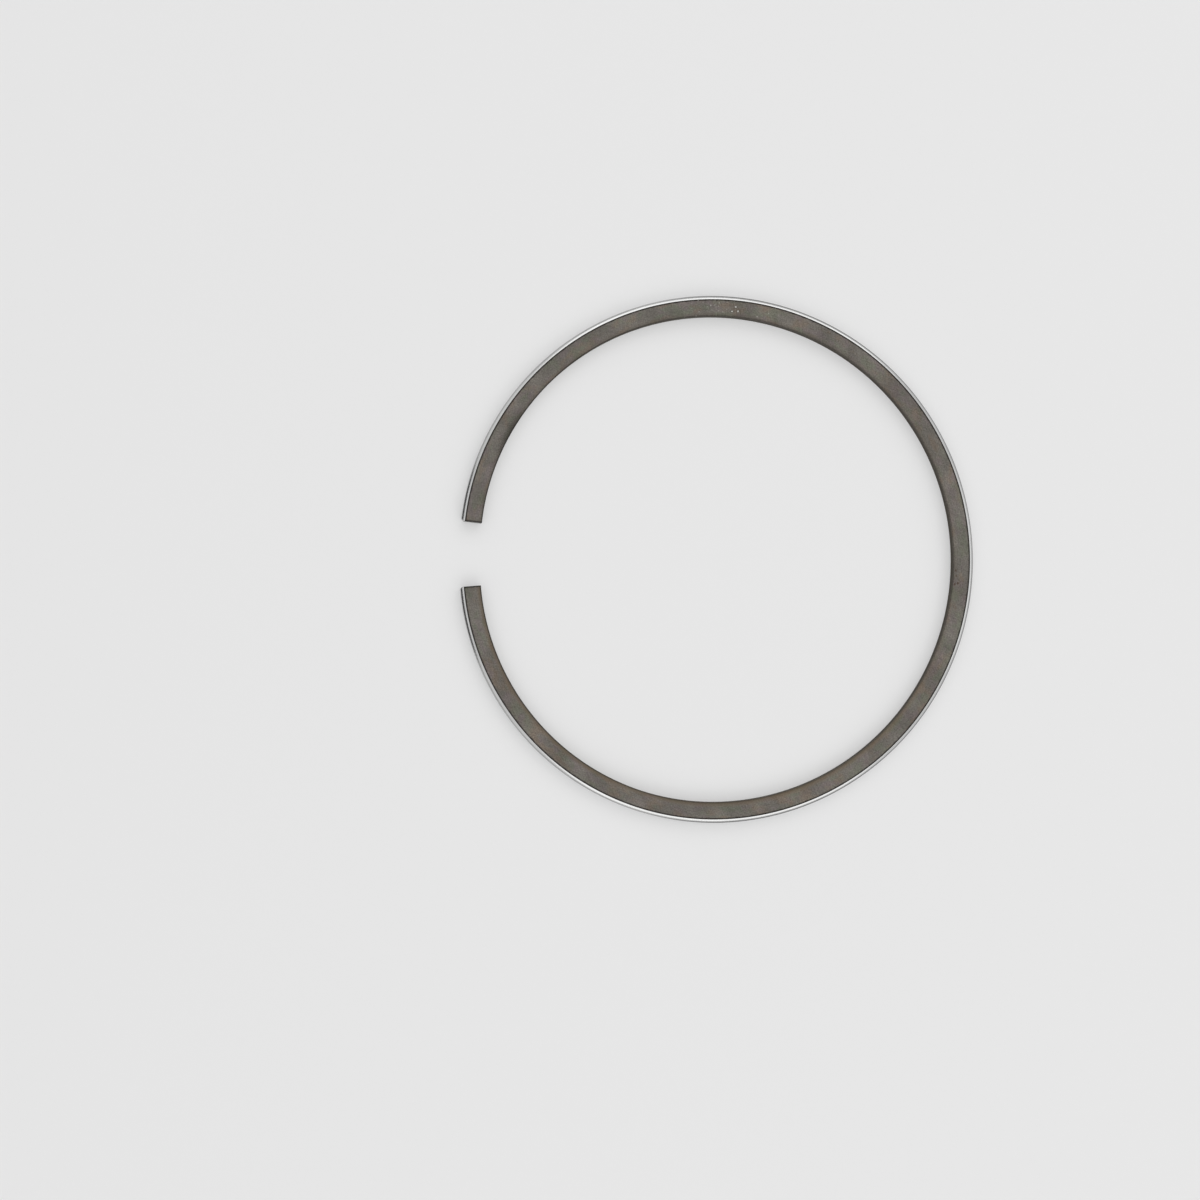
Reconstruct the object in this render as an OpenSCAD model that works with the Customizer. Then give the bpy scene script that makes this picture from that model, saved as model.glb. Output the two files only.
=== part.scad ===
// Compression ring of a piston, free: one split piece of spring steel with butt-cut ends.
// A free ring is not a circle. Its back half is one arc, and its two front quarters are arcs of a
// smaller radius, with centres to each side of the gap axis, that run on from it without a kink.
// The ring lies on Z = 0, its gap faces -X, and the middle of its outline is at X = Y = 0.

/* [Ring] */
// Bore of the cylinder that the ring runs in
bore_d = 76; // [60:0.5:100]
// Radial width of the wall
radial_w = 3.1; // [2.4:0.05:4.5]
// Axial height, from side face to side face
axial_h = 2; // [1.4:0.05:3.5]

/* [Free shape] */
// Gap between the ends of the free ring, at the middle of the wall
free_gap = 9.6; // [5:0.1:16]
// Gap that is left once the ring is closed up in its bore
closed_gap = 0.3; // [0.1:0.05:0.8]
// How much wider the free ring is across its gap axis than along it
ovality = 1.2; // [0.2:0.05:2]

/* [Section] */
// Radial width of the rounded outer corners
corner_w = 0.55; // [0.25:0.05:0.7]
// Axial height of the rounded outer corners
corner_h = 0.35; // [0.2:0.05:0.6]
// How far the running face bulges between its corners
barrel = 0.01; // [0.005:0.005:0.03]
// Bevel along both inner edges
inner_bevel = 0.15; // [0.05:0.05:0.4]

/* [Ends] */
// Length of the rounded corner where an end meets the running face
end_corner = 0.35; // [0.1:0.05:0.6]

/* [Hidden] */
$fn = 180;

// Step to which the arcs' radii and centres are rounded, so that the arcs meet exactly
grid = 0.001;
// How far a cutting shape runs past what it cuts
spare = 1;

// Closed up in its bore, the middle of the wall is a circle of this radius
closed_r = (bore_d - radial_w) / 2;
// The front quarters' centres lie this far to each side of the gap axis
front_shift = to_grid(ovality);
// Radius of the back half: free and closed, the middle of the wall has the same length
back_r = to_grid(closed_r + (free_gap - closed_gap + (PI - 2) * front_shift) / (2 * PI));
front_r = back_r - front_shift;
// Seen from its quarter's centre, each end stops this many degrees short of -X
end_angle = asin((free_gap / 2 - front_shift) / front_r);

// The section is drawn about the middle of the wall, with the running face at +X
inner_x = -radial_w / 2;
outer_x = radial_w / 2;
// Both outer corners lie on one circle, with its centre at mid-height this far inside the running face
corner_depth = (corner_w * corner_w + corner_h * (axial_h - corner_h)) / (2 * corner_w);
corner_r = norm([corner_depth - corner_w, axial_h / 2]);
// Radius of the bulge, which drops by the barrel from mid-height to the corners
running_h = axial_h - 2 * corner_h;
barrel_r = (running_h * running_h / 4 + barrel * barrel) / (2 * barrel);

// Outer radius of the front quarters
front_outer_r = front_r + outer_x;
// At 1 the ends' corners would run smoothly into both faces, and more makes them flatter
end_corner_flatness = 1.4;
end_corner_r = end_corner_flatness * end_corner;
// The centre of their rounding lies this far inside both faces
end_corner_depth = end_corner / 2 + sqrt(end_corner_r * end_corner_r / 2 - end_corner * end_corner / 4);
// The outline reaches furthest towards the gap where the ends' corners begin
gap_side_x = front_outer_r * cos(end_angle + asin(end_corner / front_outer_r));
middle_x = (back_r + outer_x - gap_side_x) / 2;

function to_grid(size) = round(size / grid) * grid;

// Everything on the ring's side of the rounded corners
module behind_corners() {
    corner_x = outer_x - corner_depth;
    translate([inner_x - spare, -spare])
        square([corner_x - inner_x + spare, axial_h + 2 * spare]);
    translate([corner_x, axial_h / 2])
        circle(corner_r);
}

// The wall with its inner bevels, still square on the outside
module bevelled_wall() {
    polygon([
        [inner_x, inner_bevel],
        [inner_x + inner_bevel, 0],
        [outer_x + spare, 0],
        [outer_x + spare, axial_h],
        [inner_x + inner_bevel, axial_h],
        [inner_x, axial_h - inner_bevel]
    ]);
}

module wall_section() {
    intersection() {
        bevelled_wall();
        behind_corners();
        translate([outer_x - barrel_r, axial_h / 2])
            circle(barrel_r);
    }
}

module wall_arc(radius, from_angle, angle) {
    rotate_extrude(start = from_angle, angle = angle)
        translate([radius, 0])
            wall_section();
}

// What the rounding takes off an end's outer corner, with the end's face along +X at Y = 0
module end_corner_cut() {
    translate([front_outer_r - end_corner_depth, -end_corner_depth, -spare])
        difference() {
            cube([end_corner_depth + spare, end_corner_depth + spare, axial_h + 2 * spare]);
            translate([0, 0, -spare])
                cylinder(r = end_corner_r, h = axial_h + 4 * spare);
        }
}

// From the back half round to the end at +Y
module front_quarter() {
    translate([0, front_shift, 0])
        difference() {
            wall_arc(front_r, 90, 90 - end_angle);
            rotate(180 - end_angle)
                end_corner_cut();
        }
}

module compression_ring() {
    color("#6a655e")
        translate([-middle_x, 0, 0]) {
            wall_arc(back_r, -90, 180);
            for (side = [0, 1])
                mirror([0, side, 0])
                    front_quarter();
        }
}

compression_ring();
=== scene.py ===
import math
from typing import NamedTuple

import bpy
import numpy as np
from mathutils import Euler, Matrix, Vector


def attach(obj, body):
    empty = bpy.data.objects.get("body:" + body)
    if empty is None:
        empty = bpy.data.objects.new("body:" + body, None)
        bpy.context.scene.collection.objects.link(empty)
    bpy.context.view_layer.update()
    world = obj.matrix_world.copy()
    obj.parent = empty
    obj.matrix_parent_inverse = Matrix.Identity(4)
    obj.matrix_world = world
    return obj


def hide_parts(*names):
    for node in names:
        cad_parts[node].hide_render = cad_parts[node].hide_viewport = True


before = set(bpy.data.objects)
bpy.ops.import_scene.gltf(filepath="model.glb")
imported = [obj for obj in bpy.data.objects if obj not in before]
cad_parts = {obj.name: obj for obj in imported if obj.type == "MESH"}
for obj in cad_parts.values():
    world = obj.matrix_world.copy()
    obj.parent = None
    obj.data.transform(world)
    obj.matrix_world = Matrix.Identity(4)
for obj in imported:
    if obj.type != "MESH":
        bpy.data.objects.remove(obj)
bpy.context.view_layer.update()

# The ring's lengths and the camera's place are in millimetres, and the studio's lengths in metres
MM = 0.001

# The ring's driving sizes, as the solid has them
BORE = 76.0
WALL = 3.1
HEIGHT = 2.0
FREE_GAP = 9.6
CLOSED_GAP = 0.3
OVALITY = 1.2
CORNER_W = 0.55
CORNER_H = 0.35
BARREL = 0.01
INNER_BEVEL = 0.15
END_CORNER = 0.35
END_CORNER_FLATNESS = 1.4

# The free shape: a back half, and two front quarters with centres to each side of the gap's axis
QUARTER = math.pi / 2
CLOSED_R = (BORE - WALL) / 2
BACK_R = CLOSED_R + (FREE_GAP - CLOSED_GAP + (math.pi - 2) * OVALITY) / (2 * math.pi)
FRONT_R = BACK_R - OVALITY
END_ANGLE = math.pi - math.asin((FREE_GAP / 2 - OVALITY) / FRONT_R)
END_LENGTH = BACK_R * QUARTER + FRONT_R * (END_ANGLE - QUARTER)

# The section, about the middle of the wall
INNER = -WALL / 2
OUTER = WALL / 2
PLATING_EDGE = OUTER - CORNER_W
CORNER_DEPTH = (CORNER_W**2 + CORNER_H * (HEIGHT - CORNER_H)) / (2 * CORNER_W)
CORNER_R = math.hypot(CORNER_DEPTH - CORNER_W, HEIGHT / 2)
RUNNING_H = HEIGHT - 2 * CORNER_H
BARREL_R = (RUNNING_H**2 / 4 + BARREL**2) / (2 * BARREL)

# The ends' rounded corners, and the place of the free shape in the part's frame
FRONT_OUTER_R = FRONT_R + OUTER
END_CORNER_R = END_CORNER_FLATNESS * END_CORNER
END_CORNER_DEPTH = END_CORNER / 2 + math.sqrt(END_CORNER_R**2 / 2 - END_CORNER**2 / 4)
GAP_SIDE = -FRONT_OUTER_R * math.cos(END_ANGLE - math.asin(END_CORNER / FRONT_OUTER_R))
MIDDLE_X = (BACK_R + OUTER - GAP_SIDE) / 2

# How finely the ring is drawn: the angle between stations along it, and steps over each of its forms
STATION_STEP = math.radians(0.5)
END_CORNER_STEPS = 8
INNER_STEPS = 8
BEVEL_STEPS = 2
FACE_STEPS = 16
GROOVE_STEPS = 1
CORNER_STEPS = 10
BARREL_STEPS = 5
EDGE_STEPS = 3

# How much is broken off sharp edges, in millimetres and as the largest share of a step beside them
EDGE_BREAK = 0.03
EDGE_BREAK_SHARE = 0.4

# Where the outline's two sides stand at a wider angle than this, it runs on smoothly and isn't broken
SMOOTH_ANGLE = math.radians(170)

# The fine groove along the plating's edge
GROOVE_W = 0.03
GROOVE_DEPTH = 0.008

# The unrolled surface in the texture map: rows of the ring's length, with a margin round each
MAP_ROWS = 5
MAP_MARGIN = 0.3

# Slots of the ring's materials
SIDE_FACE, PLATING, INNER_WALL, CUT_END = range(4)


# Shape


def arc_points(centre, radius, start, end, steps):
    """Points along an arc of the section, angles in radians, both ends included."""
    turn = np.linspace(start, end, steps + 1)
    return np.stack([centre[0] + radius * np.cos(turn), centre[1] + radius * np.sin(turn)], 1)


def line_points(start, end, steps):
    """Points along a straight stretch of the section, both ends included."""
    share = np.linspace(0, 1, steps + 1)[:, None]
    return np.array(start) * (1 - share) + np.array(end) * share


def section_runs():
    """The section's outline as runs of points, each with its material, in order round the wall."""
    half = HEIGHT / 2
    corner_x = OUTER - CORNER_DEPTH
    barrel_x = OUTER - BARREL_R
    # Where the corners' circle meets the bulge of the running face
    apart = corner_x - barrel_x
    meet = (BARREL_R**2 - CORNER_R**2 + apart**2) / (2 * apart)
    meet_height = math.sqrt(BARREL_R**2 - meet**2)
    barrel_high = math.asin(meet_height / BARREL_R)
    corner_low = math.asin(meet_height / CORNER_R)
    corner_high = math.asin((half - GROOVE_DEPTH) / CORNER_R)
    # The outline's corners in the upper half
    bevel_low = (INNER, HEIGHT - INNER_BEVEL)
    bevel_high = (INNER + INNER_BEVEL, HEIGHT)
    groove = (corner_x + CORNER_R * math.cos(corner_high), HEIGHT - GROOVE_DEPTH)
    face_edge = (groove[0] - GROOVE_W, HEIGHT)
    upper = [
        (line_points((INNER, half), bevel_low, INNER_STEPS), INNER_WALL),
        (line_points(bevel_low, bevel_high, BEVEL_STEPS), SIDE_FACE),
        (line_points(bevel_high, face_edge, FACE_STEPS), SIDE_FACE),
        (line_points(face_edge, groove, GROOVE_STEPS), SIDE_FACE),
        (arc_points((corner_x, half), CORNER_R, corner_high, corner_low, CORNER_STEPS), PLATING),
        (arc_points((barrel_x, half), BARREL_R, barrel_high, 0, BARREL_STEPS), PLATING),
    ]
    lower = [(points[::-1] * (1, -1) + (0, HEIGHT), slot) for points, slot in reversed(upper)]
    return upper + lower


def corner_curve(before, corner, after):
    """A short curve in place of a corner, or the corner itself where the outline runs on smoothly."""
    before_length = np.linalg.norm(before - corner)
    after_length = np.linalg.norm(after - corner)
    back = (before - corner) / before_length
    ahead = (after - corner) / after_length
    if np.dot(back, ahead) < math.cos(SMOOTH_ANGLE):
        return [corner]
    size = min(EDGE_BREAK, EDGE_BREAK_SHARE * before_length, EDGE_BREAK_SHARE * after_length)
    share = np.linspace(0, 1, EDGE_STEPS + 1)[:, None]
    start, end = corner + back * size, corner + ahead * size
    return list((1 - share) ** 2 * start + 2 * share * (1 - share) * corner + share**2 * end)


def section_outline():
    """Points of the closed section, their outward normals, and the material after each point."""
    runs = section_runs()
    points, slots = [], []
    for number, (run, slot) in enumerate(runs):
        stretch = corner_curve(runs[number - 1][0][-2], run[0], run[1]) + list(run[1:-1])
        points += stretch
        slots += [slot] * len(stretch)
    points = np.array(points)
    step = np.roll(points, -1, 0) - np.roll(points, 1, 0)
    normals = np.stack([-step[:, 1], step[:, 0]], 1)
    return points, normals / np.linalg.norm(normals, axis=1)[:, None], slots


def station_list():
    """Angle, inset and distance to the nearer end of each place where the section is drawn."""
    turns = np.linspace(QUARTER, 0, EDGE_STEPS + 1)
    near_end = [(EDGE_BREAK * (1 - math.sin(t)), EDGE_BREAK * (1 - math.cos(t))) for t in turns]
    over_corner = np.linspace(EDGE_BREAK, END_CORNER_DEPTH, END_CORNER_STEPS + 1)[1:]
    near_end += [(distance, 0.0) for distance in over_corner]
    first_end = [(END_ANGLE - distance / FRONT_R, inset, distance) for distance, inset in near_end]
    last = first_end[-1][0]
    count = round(2 * last / STATION_STEP)
    between = [(angle, 0.0, END_CORNER_DEPTH) for angle in np.linspace(last, -last, count + 1)[1:-1]]
    other_end = [(-angle, inset, distance) for angle, inset, distance in reversed(first_end)]
    return first_end + between + other_end


def along_ring(angle):
    """Length along the middle of the wall from the back to a station, positive towards +Y."""
    size = abs(angle)
    length = BACK_R * min(size, QUARTER) + FRONT_R * max(0.0, size - QUARTER)
    return math.copysign(length, angle)


def ring_points(angle, across, height):
    """Points of the part's frame at a station of the free shape."""
    front = abs(angle) > QUARTER
    radius = (FRONT_R if front else BACK_R) + across
    shift = math.copysign(OVALITY, angle) if front else 0.0
    x = radius * math.cos(angle) - MIDDLE_X
    y = radius * math.sin(angle) + shift
    return np.stack([x, y, height], -1)


def outer_limit(distance):
    """How far across the wall the rounded corner of an end lets the section reach."""
    rise = max(0.0, END_CORNER_DEPTH - distance)
    return min(OUTER, OUTER - END_CORNER_DEPTH + math.sqrt(END_CORNER_R**2 - rise**2))


def ring_faces(size, count):
    """Quads between neighbouring stations, and then the faces of the two ends."""
    faces = []
    for start in range(0, (count - 1) * size, size):
        for j in range(size):
            k = (j + 1) % size
            faces.append((start + j, start + size + j, start + size + k, start + k))
    faces.append(tuple(range(size)))
    faces.append(tuple(range((count - 1) * size, count * size))[::-1])
    return faces


def map_corners(stations, points):
    """Places in the texture map of each quad's four corners and of the two ends' outlines."""
    closed = np.concatenate([points, points[:1]])
    round_length = np.concatenate([[0], np.cumsum(np.linalg.norm(np.diff(closed, axis=0), axis=1))])
    length = np.array([END_LENGTH - along_ring(station[0]) for station in stations])
    row_length = 2 * END_LENGTH / MAP_ROWS
    row_height = round_length[-1] + 2 * MAP_MARGIN
    corners = []
    for i in range(len(stations) - 1):
        row = min(MAP_ROWS - 1, int((length[i] + length[i + 1]) / 2 / row_length))
        u = length[i : i + 2] - row * row_length + 2 * MAP_MARGIN
        v = round_length + row * row_height + MAP_MARGIN
        for j in range(len(points)):
            corners += [(u[0], v[j]), (u[1], v[j]), (u[1], v[j + 1]), (u[0], v[j + 1])]
    for number, outline in enumerate((points, points[::-1])):
        shift = (WALL + number * (WALL + MAP_MARGIN), MAP_ROWS * row_height + MAP_MARGIN)
        corners += (outline + shift).tolist()
    side = max(row_length + 4 * MAP_MARGIN, MAP_ROWS * row_height + HEIGHT + 2 * MAP_MARGIN)
    return np.array(corners) / side


def ring_mesh():
    """The ring's mesh, with its materials' slots, its texture map and each point's place on the ring."""
    points, normals, slots = section_outline()
    stations = station_list()
    size, count = len(points), len(stations)
    corners, places = [], []
    for angle, inset, distance in stations:
        drawn = points - normals * inset
        across = np.minimum(drawn[:, 0], outer_limit(distance) - inset)
        corners.append(ring_points(angle, across, drawn[:, 1]))
        places.append(np.stack([np.full(size, along_ring(angle)), across, drawn[:, 1]], 1))
    faces = ring_faces(size, count)
    mesh = bpy.data.meshes.new("compression_ring_finish")
    mesh.from_pydata((np.concatenate(corners) * MM).tolist(), [], faces)
    mesh.polygons.foreach_set("material_index", slots * (count - 1) + [CUT_END, CUT_END])
    mesh.polygons.foreach_set("use_smooth", [True] * (len(faces) - 2) + [False, False])
    ring_place = mesh.attributes.new("ring_place", "FLOAT_VECTOR", "POINT")
    ring_place.data.foreach_set("vector", np.concatenate(places).astype(np.float32).ravel())
    unrolled = mesh.uv_layers.new(name="OFBake")
    unrolled.data.foreach_set("uv", map_corners(stations, points).astype(np.float32).ravel())
    mesh.update()
    return mesh


# Materials

# Most of a noise's values lie in this span
NOISE_SPAN = (0.3, 0.7)

# Marks have ragged edges: the scale of the noise that frays them, and how far it does, in half sizes
RAGGED_SCALE = (6.0, 6.0, 1.0)
RAGGED_BY = 0.9

# A mark's half size in depth, so small that no mark of the upper side shows on the lower one
MARK_DEPTH = HEIGHT / 4

# A distance to a mark that stands for none nearby
FAR_OFF = 1000.0

# How metallic the ring's bare steel is
STEEL_METALLIC = 0.9

# Numbers of a colour Mix node's sockets, which share their names with its other kinds
MIX_A, MIX_B, MIX_OUT = 6, 7, 2


class Nodes:
    """Short ways to add nodes to a tree."""

    def __init__(self, tree):
        self.tree = tree

    def feed(self, socket, value):
        """Link a socket to another node's output, or set it to a plain value."""
        if isinstance(value, bpy.types.NodeSocket):
            self.tree.links.new(value, socket)
        else:
            socket.default_value = value

    def node(self, kind, inputs, **settings):
        """A new node, with its settings made and its sockets fed."""
        made = self.tree.nodes.new(kind)
        for name, value in settings.items():
            setattr(made, name, value)
        for socket, value in inputs.items():
            self.feed(made.inputs[socket], value)
        return made

    def parts(self, vector):
        """The three parts of a vector."""
        return self.node("ShaderNodeSeparateXYZ", {0: vector}).outputs

    def remap(self, value, span, results, interpolation="SMOOTHSTEP"):
        """Carry a span of values over to a span of results, which levels off before and after it."""
        inputs = {"Value": value}
        inputs["From Min"], inputs["From Max"] = span
        inputs["To Min"], inputs["To Max"] = results
        made = self.node("ShaderNodeMapRange", inputs, interpolation_type=interpolation)
        return made.outputs["Result"]


class Finish(Nodes):
    """A material with one Principled shader."""

    def __init__(self, name):
        self.material = bpy.data.materials.new(name)
        self.material.use_nodes = True
        super().__init__(self.material.node_tree)
        self.shader = self.tree.nodes["Principled BSDF"]

    def set(self, **inputs):
        """Feed the shader's sockets, in whose names _ stands for a space."""
        for name, value in inputs.items():
            self.feed(self.shader.inputs[name.replace("_", " ")], value)

    def bump(self, height, strength, depth):
        """Give the shader a bumpy surface, with a depth in millimetres."""
        inputs = {"Height": height, "Strength": strength, "Distance": depth * MM}
        self.feed(self.shader.inputs["Normal"], self.node("ShaderNodeBump", inputs).outputs["Normal"])

    def place(self):
        """Length along the ring, place across its wall and height, in millimetres."""
        return self.node("ShaderNodeAttribute", {}, attribute_name="ring_place").outputs["Vector"]

    def vector(self, operation, a, b):
        return self.node("ShaderNodeVectorMath", {0: a, 1: b}, operation=operation).outputs[0]

    def length(self, vector):
        return self.node("ShaderNodeVectorMath", {0: vector}, operation="LENGTH").outputs["Value"]

    def math(self, operation, a, b=0.0):
        return self.node("ShaderNodeMath", {0: a, 1: b}, operation=operation).outputs[0]

    def distance(self, value, middle):
        """How far a value is from a middle, to either side."""
        return self.math("ABSOLUTE", self.math("SUBTRACT", value, middle))

    def product(self, first, *others):
        for other in others:
            first = self.math("MULTIPLY", first, other)
        return first

    def noise(self, vector, scale, detail=2.0):
        """Cloudy noise from 0 to 1, with features about 1 / scale wide."""
        stretched = self.vector("MULTIPLY", vector, scale)
        inputs = {"Vector": stretched, "Scale": 1.0, "Detail": detail}
        return self.node("ShaderNodeTexNoise", inputs).outputs["Fac"]

    def spread(self, noise, results):
        """Spread a noise's usual values over a span of results."""
        return self.remap(noise, NOISE_SPAN, results)

    def fade(self, distance, reach, strength=1.0):
        """A share that has its full strength up to the first distance and is gone by the second."""
        return self.remap(distance, reach, (strength, 0.0))

    def mix(self, share, a, b):
        """Colour a, with a share of colour b."""
        made = self.node("ShaderNodeMix", {"Factor": share, MIX_A: a, MIX_B: b}, data_type="RGBA")
        return made.outputs[MIX_OUT]

    def shade(self, colour, by):
        """A colour made darker or lighter."""
        made = self.node("ShaderNodeVectorMath", {0: colour, "Scale": by}, operation="SCALE")
        return made.outputs[0]

    def to_mark(self, place, marks):
        """Distance to the nearest of some marks on the upper side, in half sizes of the mark."""
        nearest = FAR_OFF
        for mark in marks:
            centre = (along_ring(math.radians(mark.angle)), mark.across, HEIGHT)
            offset = self.vector("SUBTRACT", place, centre)
            scaled = self.vector("DIVIDE", offset, (mark.half_length, mark.half_width, MARK_DEPTH))
            nearest = self.math("MINIMUM", nearest, self.length(scaled))
        ragged = self.math("MULTIPLY", self.noise(place, RAGGED_SCALE), RAGGED_BY)
        return self.math("ADD", nearest, ragged)


class Mark(NamedTuple):
    """A mark on the upper side: degrees from the back, place across the wall, and half sizes."""

    angle: float
    across: float
    half_length: float
    half_width: float


class Patches(NamedTuple):
    """Patches of one colour: the scale and span of the noise that they follow, and their strength."""

    colour: tuple
    scale: tuple
    span: tuple
    strength: float


# Colours of the side faces, and of what lies on them
FACE_GREY = (0.170, 0.157, 0.139, 1)
FACE_BROWN = (0.189, 0.153, 0.122, 1)
FACE_GREEN = (0.157, 0.160, 0.126, 1)
FACE_MAUVE = (0.178, 0.151, 0.147, 1)
FACE_TAN = (0.200, 0.150, 0.098, 1)
# Near black, for the dark line along the plating and the darker patch, and for painted shade on the
# bevel, along the cut ends and round the nicks
NEAR_BLACK = (0.030, 0.027, 0.024, 1)
RUST = (0.080, 0.046, 0.034, 1)
BARE_METAL = (0.58, 0.57, 0.53, 1)

# Patches a millimetre or two wide
FACE_PATCHES = (
    Patches(FACE_BROWN, (0.35, 0.6, 0.7), (0.45, 0.65), 0.8),
    Patches(FACE_GREEN, (0.4, 0.6, 1.3), (0.48, 0.66), 0.8),
    Patches(FACE_MAUVE, (0.5, 0.7, 1.9), (0.50, 0.68), 0.7),
)

# Fine grain, and how much it darkens and lightens the face
GRAIN_SCALE = (5.0, 5.0, 5.0)
GRAIN_SPAN = (0.25, 0.75)
GRAIN_SHADES = (0.75, 1.25)

# Crossing arcs left by grinding: the wheel's two centres, the arcs' spacing and length, and their shades
WHEEL_CENTRES = ((230.0, 60.0, 0.0), (-80.0, -250.0, 0.0))
ARC_PITCH = 0.22
ARC_LENGTH = 2.0
ARC_SPAN = (0.7, 1.3)
ARC_SHADES = (0.90, 1.10)

# Slow changes of shade, along the ring and in clouds a few millimetres wide
SLOW_SCALE = (0.03, 0.0, 0.3)
SLOW_SHADES = (0.98, 1.02)
CLOUD_SCALE = (0.25, 0.3, 0.3)
CLOUD_SHADES = (0.87, 1.13)

# Painted warm light, a tan tinge along the inner edge that is strongest on the lower half: its reach
# from the inner edge, and the stretch along the ring over which it weakens
WARM_LIGHT_REACH = (0.20, 0.95)
WARM_LIGHT_STRETCH = (-35.0, -5.0)
WARM_LIGHT_STRENGTHS = (0.55, 0.10)

# Painted shade along the inner edge, and darker painted shade on its bevel, which both change away from
# the back
EDGE_REACH = (0.10, 0.75)
EDGE_STRETCH = (10.0, 55.0)
EDGE_PAINTED_SHADES = (0.96, 0.80)
BEVEL_REACH = (0.10, 0.28)
BEVEL_STRETCH = (10.0, 100.0)
BEVEL_PAINTED_SHADE = (0.0, 0.75)

# A dark line along the plating, which wavers a little, and painted shade in a thin line along the cut
# ends
PLATING_LINE_REACH = (0.09, 0.28)
PLATING_LINE_STRENGTH = 0.95
WAVER_SCALE = (1.2, 0.0, 0.0)
WAVER = (-0.04, 0.04)
END_SHADE_REACH = (0.08, 0.34)
END_SHADE_STRENGTH = 0.93

# Bright nicks with painted shadow at their rims, fainter nicks round them, rust specks and a darker
# patch along the inner edge
NICKS = (
    Mark(86.1, 0.02, 0.17, 0.13),
    Mark(86.9, -0.70, 0.19, 0.12),
    Mark(85.5, -0.62, 0.13, 0.19),
)
FAINT_NICKS = (
    Mark(91.9, 0.07, 0.11, 0.16),
    Mark(89.9, 0.47, 0.13, 0.11),
    Mark(80.9, -0.98, 0.13, 0.13),
    Mark(78.4, -0.13, 0.13, 0.11),
)
RUST_SPECKS = (
    Mark(-1.6, -1.15, 0.22, 0.16),
    Mark(-4.9, -1.17, 0.24, 0.17),
    Mark(-4.6, -0.72, 0.26, 0.18),
    Mark(-2.9, -1.05, 0.16, 0.14),
)
DARK_PATCHES = (Mark(151.0, -1.55, 5.2, 1.15),)

# How far these reach, in half sizes of the mark, and how strong they are
MARK_REACH = (1.0, 1.5)
NICK_SHADOW_REACH = (1.4, 2.6)
NICK_SHADOW_STRENGTH = 0.4
FAINT_NICK_STRENGTH = 0.35
RUST_STRENGTH = 0.75
DARK_PATCH_REACH = (0.35, 1.75)
DARK_PATCH_STRENGTH = 0.70

# How deep the nicks are in the bumpy surface, on which the grain is up to 1 high
NICK_DEPTH = 2.0

# Faint specks: their usual spacing, their reach in spacings, and the strengths that chance gives them
SPECK_APART = 0.6
SPECK_REACH = (0.10, 0.20)
SPECK_CHANCES = (0.35, 1.0)
SPECK_STRENGTHS = (0.0, 0.32)

# The length along the ring at the middle of the specks' thickest stretch, and how they thin out from it
SPECKS_MIDDLE = 61.0
SPECKS_STRETCH = (2.0, 5.5)
SPECKS_THINNING = (1.0, 0.03)

# How rough the side faces are, from place to place
FACE_ROUGH_SCALE = (2.0, 2.0, 2.0)
FACE_ROUGHNESS = (0.40, 0.52)


def grinding_arcs(finish, place, centre):
    """Fine arcs about a wheel's centre, which cross the side face wherever the wheel passed."""
    position = finish.node("ShaderNodeTexCoord", {}).outputs["Object"]
    in_mm = finish.vector("MULTIPLY", position, (1 / MM, 1 / MM, 0.0))
    radius = finish.length(finish.vector("SUBTRACT", in_mm, centre))
    along = finish.parts(place)[0]
    arcs = finish.node("ShaderNodeCombineXYZ", {"X": radius, "Y": along}).outputs[0]
    return finish.noise(arcs, (1 / ARC_PITCH, 1 / ARC_LENGTH, 1.0))


def ground_colour(finish, place, grain, arcs):
    """The side faces' patchy colour, with the shades of grinding, before any painted light, shade or
    mark.
    """
    colour = FACE_GREY
    for patches in FACE_PATCHES:
        share = finish.remap(finish.noise(place, patches.scale), patches.span, (0.0, patches.strength))
        colour = finish.mix(share, colour, patches.colour)
    colour = finish.shade(colour, finish.remap(grain, GRAIN_SPAN, GRAIN_SHADES))
    colour = finish.shade(colour, finish.remap(arcs, ARC_SPAN, ARC_SHADES))
    colour = finish.shade(colour, finish.spread(finish.noise(place, SLOW_SCALE), SLOW_SHADES))
    return finish.shade(colour, finish.spread(finish.noise(place, CLOUD_SCALE), CLOUD_SHADES))


def with_inner_edge(finish, place, colour):
    """Add the painted warm light and painted shade along the inner edge, and darker painted shade on its
    bevel.
    """
    along, across, _ = finish.parts(place)
    from_back = finish.math("ABSOLUTE", along)
    from_inner = finish.math("SUBTRACT", across, INNER)
    # Painted warm light: a tan tinge along the inner edge, strongest on the lower half
    warm_lit = finish.fade(from_inner, WARM_LIGHT_REACH)
    warm_light_strength = finish.remap(along, WARM_LIGHT_STRETCH, WARM_LIGHT_STRENGTHS)
    colour = finish.mix(finish.product(warm_lit, warm_light_strength), colour, FACE_TAN)
    # Painted shade, darkening the face towards its inner edge, more so away from the back
    painted_edge_shade = finish.remap(from_back, EDGE_STRETCH, EDGE_PAINTED_SHADES)
    colour = finish.shade(colour, finish.remap(from_inner, EDGE_REACH, (painted_edge_shade, 1.0)))
    # Painted shade on the bevel, none near the back and darker towards the ends
    on_bevel = finish.fade(from_inner, BEVEL_REACH)
    painted_bevel_shade = finish.remap(from_back, BEVEL_STRETCH, BEVEL_PAINTED_SHADE)
    return finish.mix(finish.product(on_bevel, painted_bevel_shade), colour, NEAR_BLACK)


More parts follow.
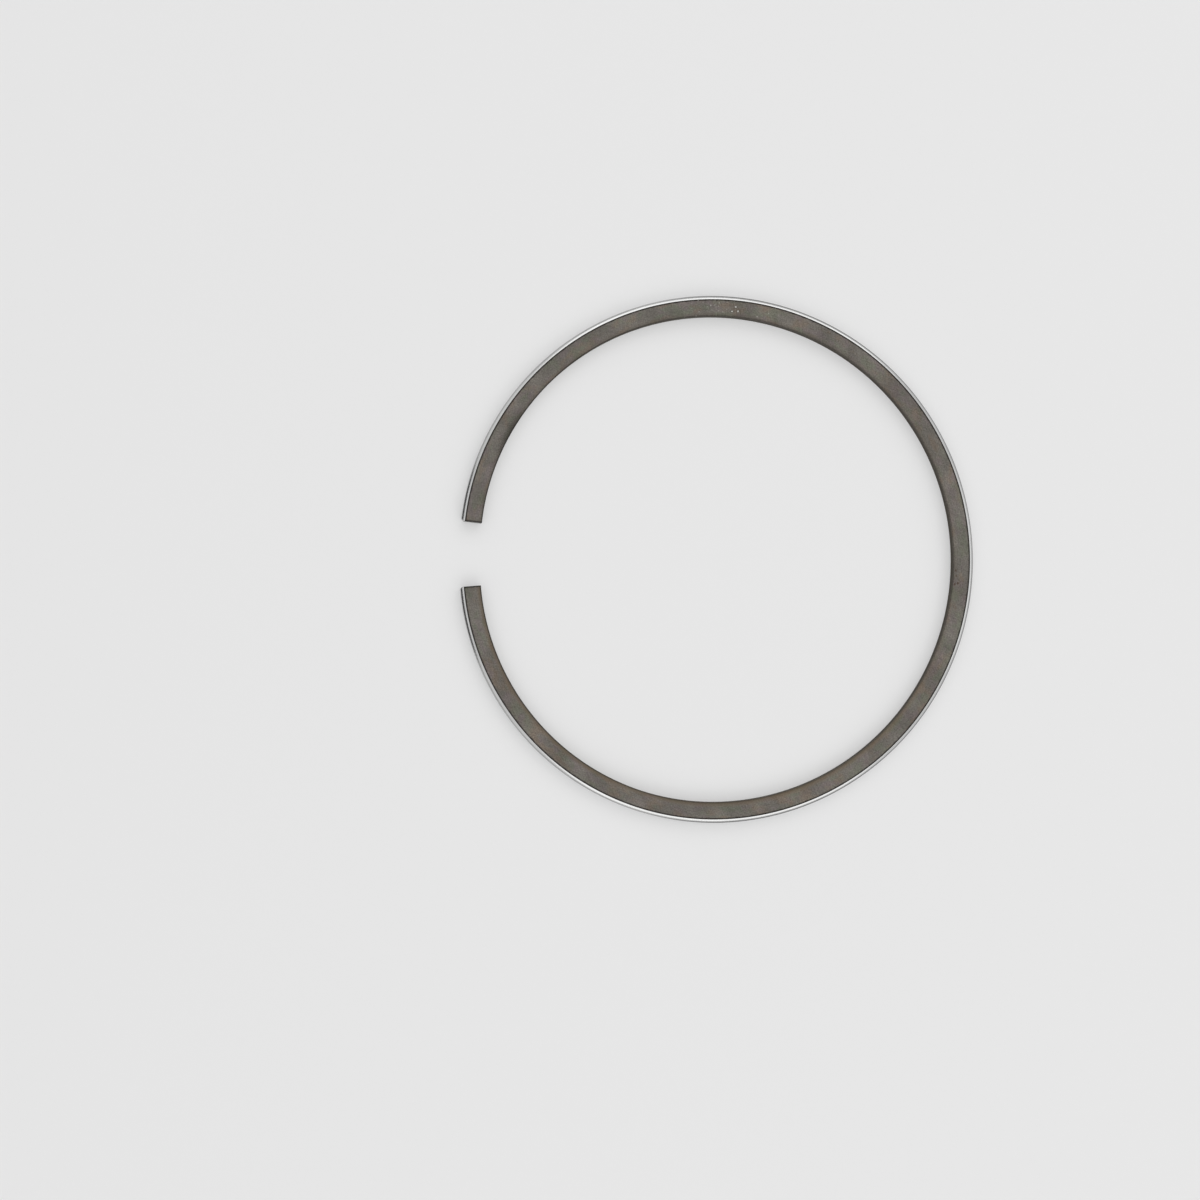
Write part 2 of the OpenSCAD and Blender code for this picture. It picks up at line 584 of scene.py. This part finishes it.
def with_dark_lines(finish, place, colour):
    """Add the thin dark line along the plating, and a thin line of painted shade along the cut ends."""
    along, across, _ = finish.parts(place)
    waver = finish.spread(finish.noise(place, WAVER_SCALE), WAVER)
    to_plating = finish.math("ADD", finish.math("SUBTRACT", PLATING_EDGE, across), waver)
    to_end = finish.math("SUBTRACT", END_LENGTH, finish.math("ABSOLUTE", along))
    colour = finish.mix(finish.fade(to_plating, PLATING_LINE_REACH, PLATING_LINE_STRENGTH), colour, NEAR_BLACK)
    # Painted shade in a thin line along the cut ends
    return finish.mix(finish.fade(to_end, END_SHADE_REACH, END_SHADE_STRENGTH), colour, NEAR_BLACK)


def faint_specks(finish, place):
    """Sparse pale specks of many strengths, thickest in a short stretch round the nicks."""
    flat = finish.vector("MULTIPLY", place, (1 / SPECK_APART, 1 / SPECK_APART, 0.0))
    cells = finish.node("ShaderNodeTexVoronoi", {"Vector": flat, "Scale": 1.0}, voronoi_dimensions="2D")
    chance = finish.parts(cells.outputs["Color"])[0]
    from_middle = finish.distance(finish.parts(place)[0], SPECKS_MIDDLE)
    inside = finish.fade(cells.outputs["Distance"], SPECK_REACH)
    strength = finish.remap(chance, SPECK_CHANCES, SPECK_STRENGTHS)
    thinning = finish.remap(from_middle, SPECKS_STRETCH, SPECKS_THINNING)
    return finish.product(inside, strength, thinning)


def with_marks(finish, place, colour, to_nick):
    """Add the darker patch, the rust, the painted shadow round the nicks, the nicks and the faint
    specks.
    """
    to_faint_nick = finish.to_mark(place, FAINT_NICKS)
    layers = (
        # A darker patch along the inner edge
        (finish.fade(finish.to_mark(place, DARK_PATCHES), DARK_PATCH_REACH, DARK_PATCH_STRENGTH), NEAR_BLACK),
        (finish.fade(finish.to_mark(place, RUST_SPECKS), MARK_REACH, RUST_STRENGTH), RUST),
        # Painted shadow in a rim round each nick
        (finish.fade(to_nick, NICK_SHADOW_REACH, NICK_SHADOW_STRENGTH), NEAR_BLACK),
        (finish.fade(to_nick, MARK_REACH), BARE_METAL),
        (finish.fade(to_faint_nick, MARK_REACH, FAINT_NICK_STRENGTH), BARE_METAL),
        (faint_specks(finish, place), BARE_METAL),
    )
    for share, layer_colour in layers:
        colour = finish.mix(share, colour, layer_colour)
    return colour


def side_face_finish():
    """Dull and ground, with painted warm light and shade along its edges, a dark line at the plating,
    rust specks and the marks of use.
    """
    finish = Finish("dull_side_face")
    place = finish.place()
    grain = finish.noise(place, GRAIN_SCALE, detail=3.0)
    first_arcs, second_arcs = (grinding_arcs(finish, place, centre) for centre in WHEEL_CENTRES)
    arcs = finish.math("ADD", first_arcs, second_arcs)
    to_nick = finish.to_mark(place, NICKS)
    colour = ground_colour(finish, place, grain, arcs)
    colour = with_inner_edge(finish, place, colour)
    colour = with_dark_lines(finish, place, colour)
    colour = with_marks(finish, place, colour, to_nick)
    roughness = finish.spread(finish.noise(place, FACE_ROUGH_SCALE, detail=4.0), FACE_ROUGHNESS)
    finish.set(Base_Color=colour, Metallic=STEEL_METALLIC, Roughness=roughness)
    nick_depth = finish.product(finish.fade(to_nick, MARK_REACH), NICK_DEPTH)
    height = finish.math("SUBTRACT", finish.math("ADD", grain, arcs), nick_depth)
    finish.bump(height, strength=0.3, depth=0.004)
    return finish.material


# The plating: its colours from dimple to dimple, and the shades and roughness of its fine lines
PLATING_DARKER = (0.63, 0.63, 0.625, 1)
PLATING_LIGHTER = (0.69, 0.69, 0.685, 1)
DIMPLE_SCALE = (2.2, 3.0, 3.0)
LAPPING_SCALE = (0.12, 20.0, 20.0)
LAPPING_SHADES = (0.88, 1.06)
LAPPING_ROUGHNESS = (0.13, 0.24)

# Painted dark reflection bands near the running face's edges, standing in for the dim floor and horizon
# that the steep plating mirrors: where they begin and end, from its middle
BAND_BEGINS = (0.50, 0.64)
BAND_ENDS = (0.77, 0.85)

# How dark they are painted, from the back to the flanks and from there to the front quarters
FLANK_STRETCH = (8.0, 26.0)
FLANK_BAND_DARKNESS = (0.57, 0.65)
FRONT_STRETCH = (58.0, 72.0)
FRONT_BAND_DARKNESS = 0.25


def painted_reflection_bands(finish, place):
    """How much painted reflection darkens the plating, from 0 to 1."""
    along, _, height = finish.parts(place)
    from_back = finish.math("ABSOLUTE", along)
    from_middle = finish.distance(height, HEIGHT / 2)
    past_begin = finish.remap(from_middle, BAND_BEGINS, (0.0, 1.0))
    before_end = finish.fade(from_middle, BAND_ENDS)
    band_darkness = finish.remap(from_back, FLANK_STRETCH, FLANK_BAND_DARKNESS)
    band_darkness = finish.remap(from_back, FRONT_STRETCH, (band_darkness, FRONT_BAND_DARKNESS))
    return finish.product(past_begin, before_end, band_darkness)


def plating_finish():
    """Bright, with fine lines along the ring, shallow dimples and painted dark reflection bands."""
    finish = Finish("bright_plating")
    place = finish.place()
    lines = finish.noise(place, LAPPING_SCALE, detail=3.0)
    dimples = finish.noise(place, DIMPLE_SCALE)
    colour = finish.mix(dimples, PLATING_DARKER, PLATING_LIGHTER)
    # Painted dark reflection bands darken the plating's colour
    colour = finish.shade(colour, finish.math("SUBTRACT", 1.0, painted_reflection_bands(finish, place)))
    colour = finish.shade(colour, finish.spread(lines, LAPPING_SHADES))
    finish.set(Base_Color=colour, Metallic=1.0, Roughness=finish.spread(lines, LAPPING_ROUGHNESS))
    finish.bump(finish.math("ADD", lines, dimples), strength=0.25, depth=0.01)
    return finish.material


# The inner wall: its darker and lighter lines, its roughness, and its dark tint at glancing angles
INNER_DARKER = (0.098, 0.089, 0.076, 1)
INNER_LIGHTER = (0.158, 0.144, 0.124, 1)
INNER_LINE_SCALE = (0.1, 18.0, 18.0)
INNER_ROUGH_SCALE = (3.0, 3.0, 3.0)
INNER_ROUGHNESS = (0.55, 0.70)
INNER_GLANCING_TINT = (0.35, 0.35, 0.35, 1)


def inner_wall_finish():
    """Dark and dull, with turning lines along the ring."""
    finish = Finish("dark_inner_wall")
    place = finish.place()
    lines = finish.noise(place, INNER_LINE_SCALE, detail=3.0)
    colour = finish.mix(lines, INNER_DARKER, INNER_LIGHTER)
    roughness = finish.spread(finish.noise(place, INNER_ROUGH_SCALE), INNER_ROUGHNESS)
    finish.set(Base_Color=colour, Metallic=STEEL_METALLIC, Roughness=roughness)
    finish.set(Specular_Tint=INNER_GLANCING_TINT)
    finish.bump(lines, strength=0.4, depth=0.01)
    return finish.material


# The cut ends: their darker and lighter lines, and the roughness that goes with them
CUT_DARKER = (0.060, 0.055, 0.049, 1)
CUT_LIGHTER = (0.105, 0.097, 0.086, 1)
CUT_LINE_SCALE = (1.0, 1.2, 16.0)
CUT_ROUGHNESS = (0.36, 0.48)


def cut_end_finish():
    """Dark, with the lines of a cut across the wall."""
    finish = Finish("ground_end")
    lines = finish.noise(finish.place(), CUT_LINE_SCALE, detail=3.0)
    colour = finish.mix(lines, CUT_DARKER, CUT_LIGHTER)
    finish.set(Base_Color=colour, Metallic=STEEL_METALLIC, Roughness=finish.spread(lines, CUT_ROUGHNESS))
    finish.bump(lines, strength=0.4, depth=0.006)
    return finish.material


def make_ring():
    """The ring, in place of its plain solid."""
    ring = bpy.data.objects.new("compression_ring_finish", ring_mesh())
    bpy.context.scene.collection.objects.link(ring)
    for finish in (side_face_finish, plating_finish, inner_wall_finish, cut_end_finish):
        ring.data.materials.append(finish())
    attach(ring, "root")
    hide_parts("compression_ring")


# Studio

# The floor's colour, and how strongly it glows by itself
FLOOR_COLOUR = (0.50, 0.50, 0.50, 1)
FLOOR_GLOW = 0.33

# The radii of its flat part and its curve, its drop below the ring, and how finely it is drawn
FLOOR_RADIUS = 3.0
FLOOR_CURVE_R = 1.2
FLOOR_DROP = 0.02 * MM
FLOOR_SIDES = 96
FLOOR_CURVE_STEPS = 16

# A dark card on the side that the gap faces
CARD_COLOUR = (0.13, 0.13, 0.13, 1)
CARD_X = -0.5
CARD_HALF_W = 0.21
CARD_HEIGHT = 0.33

# The room's light overhead
ROOM_COLOUR = (1.0, 1.0, 1.0, 1)
ROOM_LEVEL = 0.815

# Its levels near the floor, on the side that the gap faces and on the other side
NEAR_FLOOR_LEVELS = (0.26, 0.54)

# The Z of a direction, from 0 to 1, from which the light has its overhead level
ROOM_RISE = 0.5

# The photograph's view, nearly straight down: the camera's place, and its turn in degrees
CAMERA_AT = (-67.28, -17.12, 433.14)
CAMERA_TURN = (1.2997, -6.5345, 0.8821)

# The camera's lens and sensor in millimetres, and where its view begins, in metres
CAMERA_LENS = 86.97
CAMERA_SENSOR = 36.0
CAMERA_NEAR = 0.01


class Softbox(NamedTuple):
    """A lamp that faces the ring: its place and size in metres, and its power in watts."""

    name: str
    at: tuple
    size: tuple
    power: float


SOFTBOXES = (
    Softbox("softbox_far", (0.14, 0.85, 0.80), (1.3, 0.66), 1.85),
    Softbox("softbox_near", (0.14, -0.85, 0.80), (1.3, 0.66), 1.65),
    Softbox("softbox_right", (0.85, 0.0, 0.80), (0.66, 1.0), 0.5),
)


def stage_panel(name, corners, faces, finish):
    """A mesh of the studio, which isn't part of the object."""
    mesh = bpy.data.meshes.new(name)
    mesh.from_pydata(corners, [], faces)
    mesh.materials.append(finish.material)
    mesh.shade_smooth()
    panel = bpy.data.objects.new(name, mesh)
    bpy.context.scene.collection.objects.link(panel)
    return panel


def floor_finish():
    """Pale, and glowing a little to the camera and in reflections, so that shadows stay light."""
    finish = Finish("pale_floor")
    rays = finish.node("ShaderNodeLightPath", {}).outputs
    mirrored = finish.math("MAXIMUM", rays["Is Glossy Ray"], rays["Is Transmission Ray"])
    seen = finish.math("MAXIMUM", rays["Is Camera Ray"], mirrored)
    glow = finish.math("MULTIPLY", seen, FLOOR_GLOW)
    finish.set(Base_Color=FLOOR_COLOUR, Roughness=0.8, Emission_Strength=glow)
    return finish


def make_floor():
    """A round floor that curves up into a low wall, far from the ring on all sides."""
    profile = []
    for rise in np.linspace(0, QUARTER, FLOOR_CURVE_STEPS + 1):
        radius = FLOOR_RADIUS + FLOOR_CURVE_R * math.sin(rise)
        height = FLOOR_CURVE_R * (1 - math.cos(rise)) - FLOOR_DROP
        profile.append((radius, height))
    turns = np.linspace(0, 2 * math.pi, FLOOR_SIDES, endpoint=False)
    corners = [(r * math.cos(t), r * math.sin(t), height) for r, height in profile for t in turns]
    faces = [range(FLOOR_SIDES)]
    for row in range(0, FLOOR_CURVE_STEPS * FLOOR_SIDES, FLOOR_SIDES):
        for i in range(FLOOR_SIDES):
            j = (i + 1) % FLOOR_SIDES
            faces.append((row + j, row + i, row + FLOOR_SIDES + i, row + FLOOR_SIDES + j))
    stage_panel("floor", corners, faces, floor_finish())


def make_dark_card():
    """A card that is seen only as the dark stripe that it gives the plating beside the gap."""
    bottom = [(CARD_X, -CARD_HALF_W, 0.0), (CARD_X, CARD_HALF_W, 0.0)]
    top = [(CARD_X, CARD_HALF_W, CARD_HEIGHT), (CARD_X, -CARD_HALF_W, CARD_HEIGHT)]
    finish = Finish("dark_card")
    finish.set(Base_Color=CARD_COLOUR, Roughness=0.9)
    stage_panel("dark_card", bottom + top, [range(4)], finish).visible_camera = False


def make_world():
    """An even room, dimmer near the floor and most of all on the side that the ring's gap faces."""
    world = bpy.data.worlds.new("studio")
    world.use_nodes = True
    nodes = Nodes(world.node_tree)
    x, _, z = nodes.parts(nodes.node("ShaderNodeTexCoord", {}).outputs["Generated"])
    near_floor = nodes.remap(x, (-1.0, 1.0), NEAR_FLOOR_LEVELS, interpolation="LINEAR")
    level = nodes.remap(z, (0.0, ROOM_RISE), (near_floor, ROOM_LEVEL))
    background = world.node_tree.nodes["Background"]
    nodes.feed(background.inputs["Color"], ROOM_COLOUR)
    nodes.feed(background.inputs["Strength"], level)
    bpy.context.scene.world = world


def make_softbox(softbox):
    """A rectangular lamp turned to the ring, which the camera doesn't see."""
    lamp = bpy.data.lights.new(softbox.name, "AREA")
    lamp.shape = "RECTANGLE"
    lamp.size, lamp.size_y = softbox.size
    lamp.energy = softbox.power
    box = bpy.data.objects.new(softbox.name, lamp)
    bpy.context.scene.collection.objects.link(box)
    box.location = softbox.at
    box.rotation_euler = Vector(softbox.at).to_track_quat("Z", "Y").to_euler()
    box.visible_camera = False


def make_camera():
    """The camera, at the photograph's viewing angle."""
    camera = bpy.data.objects.new("camera", bpy.data.cameras.new("camera"))
    bpy.context.scene.collection.objects.link(camera)
    camera.data.sensor_width = CAMERA_SENSOR
    camera.data.lens = CAMERA_LENS
    camera.data.clip_start = CAMERA_NEAR
    camera.location = Vector(CAMERA_AT) * MM
    camera.rotation_euler = Euler([math.radians(angle) for angle in CAMERA_TURN])
    bpy.context.scene.camera = camera


make_ring()
make_floor()
make_dark_card()
make_world()
for softbox in SOFTBOXES:
    make_softbox(softbox)
make_camera()
bpy.context.scene.view_settings.view_transform = "Standard"
